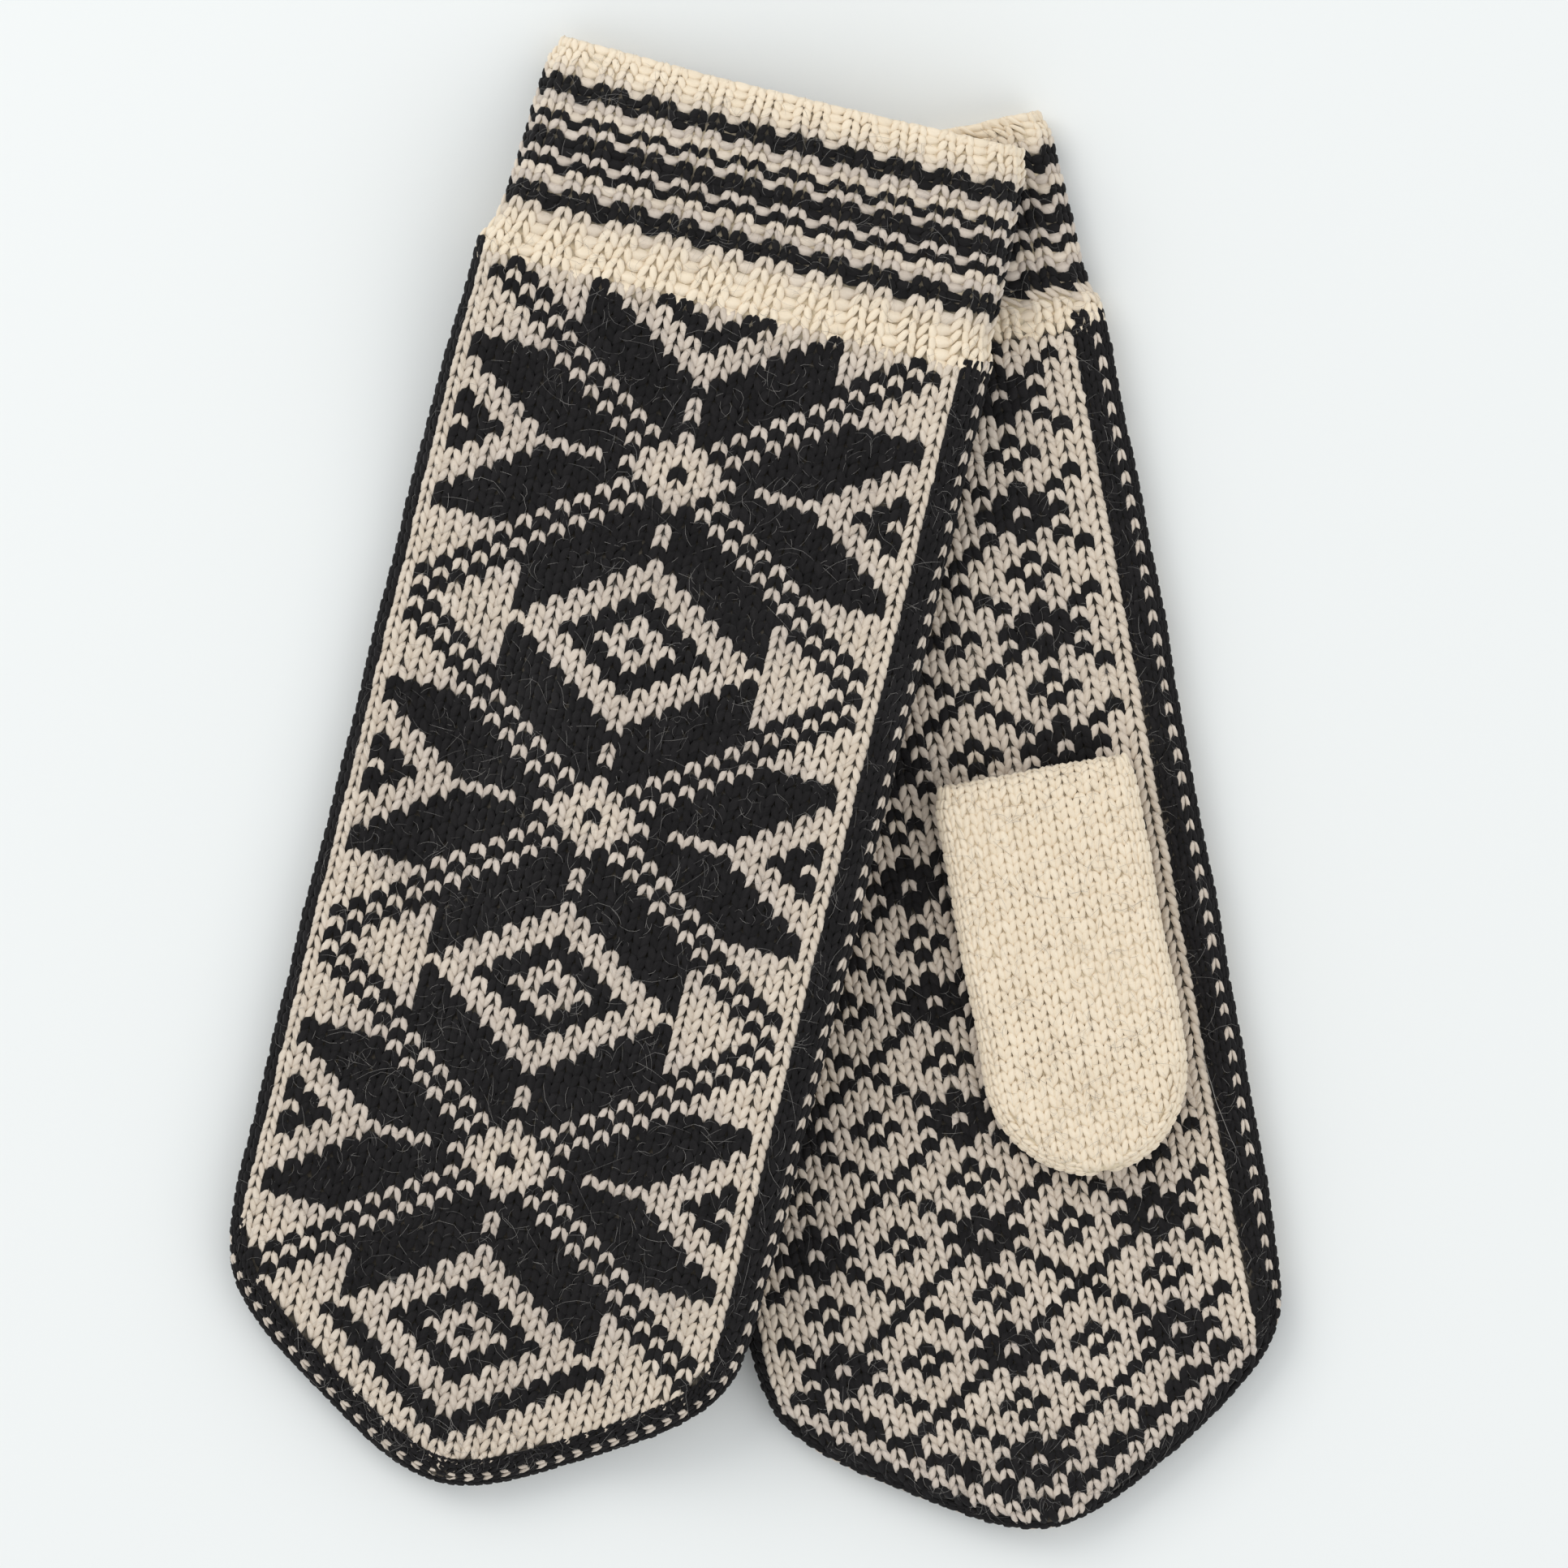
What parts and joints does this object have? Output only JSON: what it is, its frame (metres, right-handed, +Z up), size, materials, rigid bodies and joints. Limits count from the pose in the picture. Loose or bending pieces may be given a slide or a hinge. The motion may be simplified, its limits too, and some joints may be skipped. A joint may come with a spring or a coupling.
{
  "type": "knitted mittens",
  "caption": "Pair of stranded two-colour knitted mittens laid flat and crossed, with a star pattern on the back, a lattice palm and a plain thumb.",
  "frame": {"origin": "centre of the bounding box on the surface that the mittens lie on", "axes": "+Z up from the surface, +Y from the fingertips towards the cuffs, +X towards the side where the lower, left mitten's thumb lies"},
  "size_m": [0.203, 0.2884, 0.0311],
  "materials": {
    "cream_wool": "undyed cream wool yarn, matt and slightly hairy",
    "black_wool": "black wool yarn, matt, with stray grey hairs",
    "two_colour_wool": "stranded knitting in cream and black wool, matt"
  },
  "bodies": {
    "left_mitten": {"left_cuff_welt": "cream_wool", "left_cuff_rib": "two_colour_wool", "left_back_panel": "two_colour_wool", "left_palm_panel": "two_colour_wool", "left_thumb_side_band": "black_wool", "left_outer_side_band": "black_wool"},
    "left_thumb": {"left_thumb": "cream_wool"},
    "right_mitten": {"right_cuff_welt": "cream_wool", "right_cuff_rib": "two_colour_wool", "right_back_panel": "two_colour_wool", "right_palm_panel": "two_colour_wool", "right_thumb_side_band": "black_wool", "right_outer_side_band": "black_wool"},
    "right_thumb": {"right_thumb": "cream_wool"}
  },
  "joints": [
    {"name": "left_thumb_swing", "type": "hinge", "parent": "left_mitten", "child": "left_thumb", "pos_m": [0.05381, -0.0018, 0.015], "axis": [-0.9839, -0.1788, 0], "range_deg": [0, 90]},
    {"name": "right_mitten_lift", "type": "slide", "parent": "left_mitten", "child": "right_mitten", "axis": [0, 0, 1], "range_m": [0, 0.12]},
    {"name": "right_thumb_swing", "type": "hinge", "parent": "right_mitten", "child": "right_thumb", "pos_m": [-0.00521, -0.00036, 0.0161], "axis": [0.9703, -0.2419, 0], "range_deg": [0, 70]}
  ],
  "couplings": [
    {"joint": "right_thumb_swing", "follows": "right_mitten_lift", "rad_per_m": 10}
  ]
}
